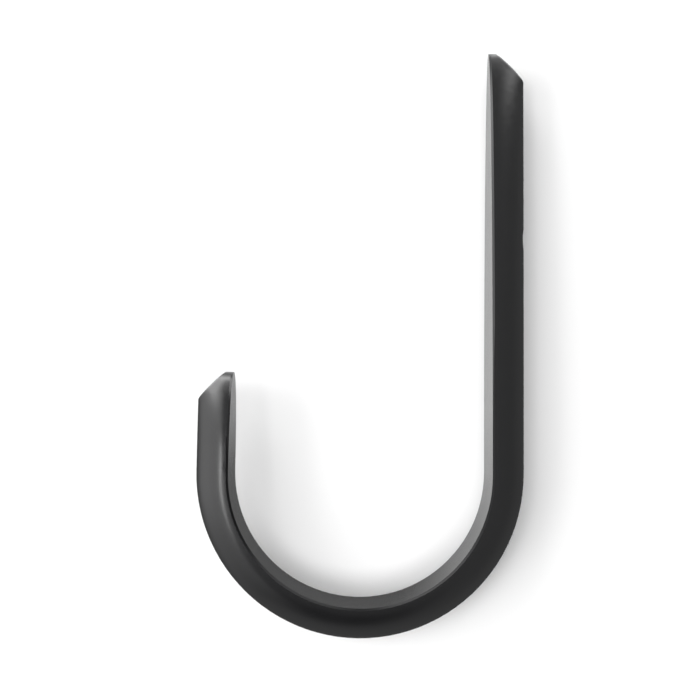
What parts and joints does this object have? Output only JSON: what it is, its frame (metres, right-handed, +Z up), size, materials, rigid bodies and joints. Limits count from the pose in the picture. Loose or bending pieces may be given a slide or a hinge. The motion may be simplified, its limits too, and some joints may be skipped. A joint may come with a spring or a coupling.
{
  "type": "wall hook",
  "caption": "J-shaped wall hook of half-round bar in satin black, flat inside and round outside, with slanted leaf-shaped tips and a hidden threaded hole in its back.",
  "frame": {"origin": "where the axis of the fixing hole meets the wall, on the crest of the long leg's round side", "axes": "+Y into the wall, -Y out into the room, +Z up along the long leg, X across the bar"},
  "size_m": [0.012, 0.056, 0.1],
  "materials": {
    "coated_metal": "satin black coating with a fine lengthwise grain"
  },
  "bodies": {
    "root": {"hook": "coated_metal"}
  },
  "joints": []
}
